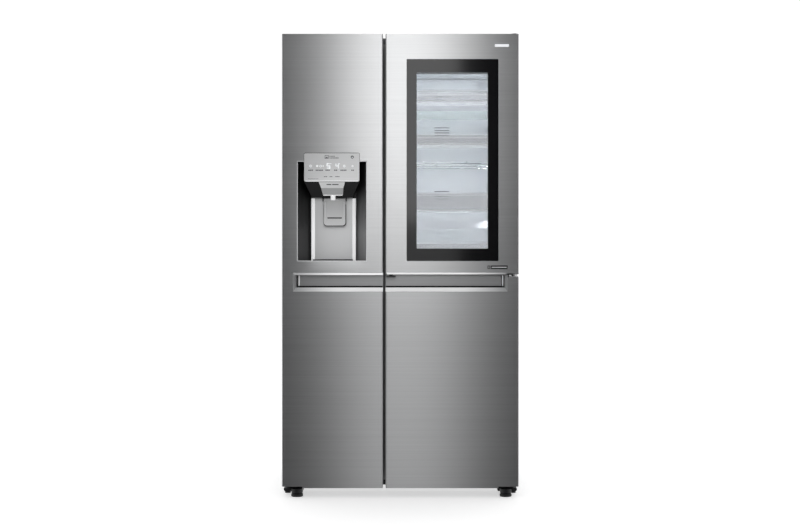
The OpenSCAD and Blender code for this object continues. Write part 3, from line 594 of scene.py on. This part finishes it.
def back_rolls():
    """Rolled edges of the sheet at the back of the recess, bright with a glowing painted highlight."""
    b = mm_box("dispenser_back")
    r, steps, sweep = 12.0, 8, 85
    for side, cx, s in (("left", b.x0 + 14, -1), ("right", b.x1 - 14, 1)):
        v = []
        for k in range(steps + 1):
            a = math.radians(k * sweep / steps)
            x, y = cx + s * r * math.sin(a), b.y1 - 13.9 + r * math.cos(a)
            v += [(x * MM, y * MM, (b.z0 + 0.3) * MM), (x * MM, y * MM, (b.z1 - 0.3) * MM)]
        f = [(2 * k, 2 * k + 1, 2 * k + 3, 2 * k + 2) for k in range(steps)]
        thicken(mesh_object("back_roll_" + side, v, f, "roll_painted_highlight", "freezer_door"))


SEGMENTS = {"4": "bcfg", "5": "acdfg"}


def digit(p, char, x, z, w, h, t, y0, y1):
    """A seven-segment digit whose strokes are t wide."""
    mid = z + h / 2
    left, right = (x, x + t), (x + w - t, x + w)
    bars = {"a": (x, x + w, z + h - t, z + h), "g": (x, x + w, mid - t / 2, mid + t / 2),
            "d": (x, x + w, z, z + t), "f": (*left, mid, z + h), "b": (*right, mid, z + h),
            "e": (*left, z, mid), "c": (*right, z, mid)}
    for s in SEGMENTS[char]:
        a, b, c, d = bars[s]
        p.box(a, b, y0, y1, c, d)


def dashes(p, x0, x1, z0, z1, y0, y1):
    """Short marks filling a line, in place of a word."""
    gap = 1.2
    n = max(1, round((x1 - x0) / 5.6))
    pitch = (x1 - x0 + gap) / n
    for k in range(n):
        p.box(x0 + k * pitch, x0 + (k + 1) * pitch - gap, y0, y1, z0, z1)


# Lit dots on the control panel: offset from its centre, height, radius
DOTS = ((-81, 59, 4.6), (-56, 59, 3.8), (-43, 59, 4.2), (-33, 59, 2.2), (48, 59, 4.4),
        (80, 59, 3.4), (-3, 68, 1.5), (30, 68, 1.5))
# Printed marks: offset of the middle from the panel's centre, height, width, tallness
MARKS = ((-81, 41, 18, 4), (-48, 41, 28, 4), (-16, 41, 16, 4), (15, 41, 12, 4), (45, 41, 23, 4),
         (80, 41, 10, 4), (-24, 17, 12, 2.6), (-3, 17, 10, 2.6), (22, 17, 16, 2.6),
         (-72, 9.5, 40, 1.2), (1, 95.2, 20, 2.8), (8.5, 88.6, 35, 2.8))


def panel_graphics():
    """Generic symbols: two lit digits, lit dots, and short dashes in place of words."""
    b = mm_box("dispenser_panel")
    z0, f0, f1 = b.z0, b.y0 - 0.25, b.y0 + 0.2
    cx = (b.x0 + b.x1) / 2
    lit, ink = Pieces(), Pieces()
    digit(lit, "5", cx - 19, z0 + 49.5, 13, 20, 2.6, f0, f1)
    digit(lit, "4", cx + 15, z0 + 50, 12, 19, 2.4, f0, f1)
    for x, z, r in DOTS:
        lit.disc(cx + x, z0 + z, r, f0, f1)
    for x in (-81, -43, 48):
        ink.disc(cx + x, z0 + 59, 1.8, f0 - 0.05, f1)
    for x, z, wide, high in MARKS:
        dashes(ink, cx + x - wide / 2, cx + x + wide / 2, z0 + z, z0 + z + high, f0, f1)
    ink.ring(cx - 27, cx - 12, z0 + 87.5, z0 + 100.5, 1.8, f0, f1)
    ink.box(cx - 23.6, cx - 15.4, f0, f1, z0 + 90, z0 + 94)
    ink.disc(cx + 79, z0 + 93.5, 5.6, f0, f1)
    lit.disc(cx + 79, z0 + 92.6, 2.0, f0 - 0.05, f1)
    # Dark line along the panel's top edge: the gap above the proud panel, with painted shadow.
    Pieces().box(b.x0 + 4, b.x1 - 4, FRONT - 0.3, FRONT + 1, b.z1 + 0.1, b.z1 + 1.9).make(
        "panel_top_line", "dark_seam_and_painted_shadow", "freezer_door", "latch_black")
    lit.make("panel_lit_symbols", "ink_white", "freezer_door", "panel_silver")
    ink.make("panel_printed_marks", "ink_dark", "freezer_door", "panel_silver")


def spout_face():
    """Printed dashes on the spout, and painted shade on its darker lower slope."""
    y0 = mm_box("dispenser_spout").y0
    marks = Pieces()
    for x0, x1 in ((-284, -266), (-262, -238)):
        marks.box(x0, x1, y0 + 1.6, y0 + 3.2, 1204, 1207.4)
    marks.make("spout_marks", "ink_dark", "freezer_door", "spout_grey")
    high, low = (y0 + 5.2, 1192), (y0 + 11.2, 1167)
    quad("spout_lower_face", [(-304.5, *high), (-297.8, *low), (-222.2, *low), (-220.5, *high)],
         "spout_painted_shade", "freezer_door")


def paddle_face():
    """Raised rims, outline and slot of the push plate; the rims' pale colour is painted highlight."""
    b = mm_box("dispenser_paddle")
    p = Pieces().box(b.x0 + 4.5, b.x0 + 6.2, b.y0 + 2.5, b.y0 + 5, b.z0 + 16, b.z1 - 14)
    p.box(b.x1 - 6.2, b.x1 - 4.5, b.y0 + 2.5, b.y0 + 5, b.z0 + 16, b.z1 - 14)
    p.make("paddle_rims", "pale_trim_and_painted_highlight", "dispenser_paddle", "paddle_grey", 0.3)
    r = 13
    left, right, low, top = b.x0 - 1.6, b.x1 + 2.4, b.z0 - 2.4, b.z1 - 24
    corners = []
    for cx, start in ((right - r, -90), (left + r, 180)):
        turns = [math.radians(start + s) for s in range(0, 91, 15)]
        corners.append([(cx + r * math.cos(t), low + r + r * math.sin(t)) for t in turns])
    outline = corners[0] + [(right, top), (left, top)] + corners[1]
    Pieces().prism(outline, b.y1 - 3.7, b.y1 - 2.9).make(
        "paddle_outline", "dark_seam_and_painted_shadow", "dispenser_paddle", "latch_black")
    Pieces().box(b.x0 + 14, b.x1 - 14, b.y0 + 3.6, b.y0 + 5, b.z0 + 27, b.z0 + 31.5).make(
        "paddle_slot", "dark_seam_and_painted_shadow", "dispenser_paddle", "latch_black")


# ------------------------------------------------------------------ top and rear


def vents_and_screws():
    """Screw heads on the hinges and rear covers, a blank rear label, and ribs on the control box."""
    cover, box = mm_box("machine_cover"), mm_box("control_box")
    heads = Pieces()
    for x in (-402, 402):
        for z in (70, 250):
            heads.rod((x, cover.y1 - 13.8, z), (x, cover.y1 - 11.4, z), 4.5, 16)
    for x in (-158, 158):
        for z in (1492, 1648):
            heads.rod((x, box.y1 - 1.2, z), (x, box.y1 - 0.2, z), 4.5, 16)
    heads.make("rear_screws", "hinge_steel", "cabinet", "hinge_steel", 0.4)
    top = mm_box("top_hinges").z1
    tops = Pieces()
    for s in (-1, 1):
        for dx in (-15, 5):
            for y in (-210, -180):
                tops.rod((s * 415 + dx, y, top - 14.5), (s * 415 + dx, y, top - 1), 3.1, 12)
    tops.make("hinge_screws", "hinge_steel", "cabinet", "hinge_steel")
    Pieces().box(-90, 60, 352.6, 353.4, 1240, 1340).make(
        "rear_label", "nozzle_white", "cabinet", "valve_plastic")
    ribs = Pieces()
    for k in range(9):
        x = -120 + k * 30
        ribs.box(x, x + 12, box.y1 - 1.4, box.y1 - 0.1, 1520, 1620)
    ribs.make("control_box_ribs", "rear_box", "cabinet", "rear_box", 0.4)


# ------------------------------------------------------------------ inside


def basket_rims():
    """White rims and floor lines on the clear baskets, with a faint painted glow."""
    for o in RECORD["physics"]["openings"]:
        name = o["name"]
        if "basket" not in name:
            continue
        (x0, y0, z0), (x1, y1, z1) = [[c / MM for c in p] for p in o["box_m"]]
        in_fridge = name.startswith(("outer", "lower"))
        top = z1 + (3 if name.startswith("outer") else 5)
        p = Pieces().flat_ring(x0 - 5, x1 + 5, y0 - 4.5, y1 + 6.5, 4.2, top - 2.4, top + 2.2)
        if in_fridge:
            p.box(x0 - 4, x1 + 4, y0 - 5, y0 - 3.6, z0 - 6, z0 + 1)
        body = "fridge_door" if in_fridge else "freezer_door"
        p.make(name + "_rim", "rim_white_painted_glow", body, "trim_plastic", 0.8)


def liner_details():
    """Air grilles on the fridge's rear wall and the lips of the door gaskets."""
    duct = mm_box("fridge_duct_panel")
    p = Pieces()
    for z in (700, 930, 1180, 1455, 1600):
        for k in range(4):
            p.box(duct.x0 + 128, duct.x0 + 192, duct.y0 - 0.6, duct.y0 + 1, z + k * 11, z + k * 11 + 3)
    p.make("duct_louvres", "ink_dark", "cabinet", "duct_plastic")
    for node, body in (("freezer_gasket", "freezer_door"), ("fridge_gasket", "fridge_door"),
                       ("outer_gasket", "outer_door")):
        b = mm_box(node)
        q = Pieces()
        for inset in (2, 9):
            q.ring(b.x0 + inset, b.x1 - inset, b.z0 + inset, b.z1 - inset, 3, b.y1 - 1, b.y1 + 0.4)
        q.make(node + "_lips", "gasket_grey", body, "gasket_grey", 0.8)


def drawer_fronts():
    """Framed clear fronts with a white grip bar."""
    for name in ("crisper_upper", "crisper_lower", "freezer_drawer_upper", "freezer_drawer_lower"):
        b = mm_box(name)
        cx = (b.x0 + b.x1) / 2
        p = Pieces().ring(b.x0, b.x1, b.z0, b.z1, 5, b.y0 - 1.2, b.y0 + 2)
        p.box(cx - 66, cx + 66, b.y0 - 3, b.y0 + 2, b.z1 - 18, b.z1 - 11)
        p.make(name + "_frame", "trim_plastic", name, "trim_plastic", 0.8)


def ice_front():
    """Cover panel lines and grille of the ice maker case."""
    b = mm_box("ice_maker")
    p = Pieces().ring(b.x0 + 8, b.x1 - 8, b.z0 + 17, b.z1 - 17, 2, b.y1 - 0.2, b.y1 + 0.8)
    for k in range(6):
        z = b.z0 + 34 + k * 12
        p.box(b.x0 + 60, b.x1 - 70, b.y1 - 2.2, b.y1 - 1.4, z, z + 4)
    p.make("ice_cover_lines", "duct_plastic", "freezer_door", "ice_case", 0.3)


def machine_bits():
    """Grip rings on the feet and marks round the rollers' hubs."""
    for name in ("levelling_leg_left", "levelling_leg_right"):
        b = mm_box(name)
        cx, cy = (b.x0 + b.x1) / 2, (b.y0 + b.y1) / 2
        p = Pieces()
        for k in range(7):
            p.rod((cx, cy, 1.6 + k), (cx, cy, 2.2 + k), 23.3, 40)
        p.make(name + "_ribs", "leg_plastic", name, "leg_plastic")
    for name in ("roller_front_left", "roller_front_right", "roller_rear_left", "roller_rear_right"):
        b = mm_box(name)
        cy, cz, r = (b.y0 + b.y1) / 2, (b.z0 + b.z1) / 2, (b.z1 - b.z0) / 2
        p = Pieces()
        for k in range(6):
            a = k * math.pi / 3
            y, z = cy + 0.62 * r * math.cos(a), cz + 0.62 * r * math.sin(a)
            for x in (b.x0 - 0.3, b.x1 - 0.5):
                p.rod((x, y, z), (x + 0.8, y, z), r * 0.12, 10)
        p.make(name + "_hub_marks", "base_steel", name, "roller_plastic")


# ------------------------------------------------------------------ stage, lights, camera


def area(name, loc, target, size_x, size_y, power, color=(1, 1, 1)):
    """A rectangular light aimed at a point and hidden from the camera."""
    data = bpy.data.lights.new(name, "AREA")
    data.shape = "RECTANGLE"
    data.size, data.size_y = size_x, size_y
    data.energy = power
    data.color = color
    ob = bpy.data.objects.new(name, data)
    ob.location = loc
    ob.rotation_euler = (Vector(target) - Vector(loc)).to_track_quat("-Z", "Y").to_euler()
    ob.visible_camera = False
    bpy.context.scene.collection.objects.link(ob)
    return ob


def stage():
    """The pale floor."""
    m = Mat("pale_floor", (0.93, 0.93, 0.93), 0.8)
    m.vary(m.noise(2.5), (0.93, 0.93, 0.93), 0.01)
    m.b.inputs["Emission Color"].default_value = (1, 1, 1, 1)
    m.b.inputs["Emission Strength"].default_value = 0.55
    me = bpy.data.meshes.new("floor")
    me.from_pydata([(-9, -1.15, 0), (9, -1.15, 0), (9, 14, 0), (-9, 14, 0)], [], [(0, 1, 2, 3)])
    me.materials.append(m.m)
    ob = bpy.data.objects.new("floor", me)
    bpy.context.scene.collection.objects.link(ob)
    ob.visible_glossy = False


def surround():
    """Dark towards the camera, paler at the sides, below and behind; white to camera rays."""
    world = bpy.data.worlds.new("studio")
    bpy.context.scene.world = world
    world.use_nodes = True
    t = world.node_tree

    def span(socket, lo, hi, smooth=False):
        node = t.nodes.new("ShaderNodeMapRange")
        if smooth:
            node.interpolation_type = "SMOOTHSTEP"
        node.inputs["From Min"].default_value = lo
        node.inputs["From Max"].default_value = hi
        t.links.new(socket, node.inputs["Value"])
        return node.outputs["Result"]

    co = t.nodes.new("ShaderNodeTexCoord")
    sep = t.nodes.new("ShaderNodeSeparateXYZ")
    t.links.new(co.outputs["Generated"], sep.inputs[0])
    behind = span(sep.outputs["Y"], -0.1, 0.45)
    front = t.nodes.new("ShaderNodeMix")
    front.data_type = "RGBA"
    t.links.new(span(sep.outputs["Z"], -0.3, 0.5), front.inputs[0])
    front.inputs[6].default_value = (0.012, 0.012, 0.013, 1)
    front.inputs[7].default_value = (0.040, 0.040, 0.042, 1)
    wide = t.nodes.new("ShaderNodeMath")
    wide.operation = "ABSOLUTE"
    t.links.new(sep.outputs["X"], wide.inputs[0])
    flank = span(wide.outputs[0], 0.40, 0.80, smooth=True)
    below = span(sep.outputs["Z"], -0.35, -0.80, smooth=True)
    camera_ray = t.nodes.new("ShaderNodeLightPath").outputs["Is Camera Ray"]
    colour = front.outputs[2]
    for fac, tone in ((below, 0.5), (flank, 0.75), (behind, 1.05), (camera_ray, 1.05)):
        mix = t.nodes.new("ShaderNodeMix")
        mix.data_type = "RGBA"
        t.links.new(fac, mix.inputs[0])
        t.links.new(colour, mix.inputs[6])
        mix.inputs[7].default_value = (tone, tone, tone, 1)
        colour = mix.outputs[2]
    t.links.new(colour, t.nodes["Background"].inputs["Color"])


def lights():
    """Studio lights on the front, and lamps inside both compartments."""
    area("strip_upper", (0.02, -3.4, 2.15), (0.02, -0.369, 1.75), 0.70, 2.0, 11.0)
    area("strip_lower", (0.02, -3.4, 0.10), (0.02, -0.369, 0.45), 0.70, 2.1, 3.9)
    area("overhead", (0, 0.2, 3.6), (0, -0.2, 1.2), 2.4, 1.2, 5)
    area("top_front", (0.0, -1.35, 3.6), (0.0, -0.37, 0.8), 0.9, 0.5, 3.0)
    area("side_left", (-2.6, -1.6, 1.3), (-0.3, -0.2, 1.1), 0.5, 2.6, 1.2)
    area("side_right", (2.6, -1.6, 1.3), (0.3, -0.2, 1.1), 0.5, 2.6, 1.2)
    cool = (0.96, 0.975, 1.0)
    area("fridge_led", (0.18, -0.04, 1.69), (0.18, -0.03, 0.6), 0.30, 0.12, 0.42, cool)
    area("fridge_led_front", (0.18, -0.155, 1.68), (0.18, -0.16, 0.6), 0.34, 0.02, 0.3, cool)
    for x in (-0.02, 0.385):
        area("fridge_led_side", (x, -0.162, 1.25), (0.18, 0.1, 1.2), 0.012, 0.9, 0.36, cool)
        area("fridge_led_low", (x, -0.162, 1.02), (0.18, 0.0, 1.0), 0.012, 0.3, 0.5, cool)
    area("recess_fill", (-0.262, -0.62, 1.06), (-0.262, -0.30, 1.06), 0.20, 0.30, 0.13)
    area("freezer_led", (-0.245, -0.04, 1.69), (-0.245, -0.03, 0.6), 0.2, 0.1, 0.6, cool)


def camera():
    """Square on to the front, at half height."""
    cam = bpy.data.cameras.new("camera")
    cam.sensor_width = 36
    cam.lens = 58.5
    cam.clip_end = 60
    ob = bpy.data.objects.new("camera", cam)
    front_y = CAD_LO.y
    height = CAD_HI.z - CAD_LO.z
    ob.location = (-0.0013, front_y - 5.0, CAD_LO.z + height / 2 - 0.0012)
    ob.rotation_euler = (math.radians(90), 0, 0)
    bpy.context.scene.collection.objects.link(ob)
    bpy.context.scene.camera = ob
    bpy.context.scene.view_settings.view_transform = "Standard"


dress_cad()
grooves()
groove_shadows()
pivot_block()
nameplates()
dispenser_trim()
panel_graphics()
spout_face()
paddle_face()
recess_cheek()
back_rolls()
vents_and_screws()
basket_rims()
liner_details()
drawer_fronts()
ice_front()
machine_bits()
stage()
surround()
lights()
camera()
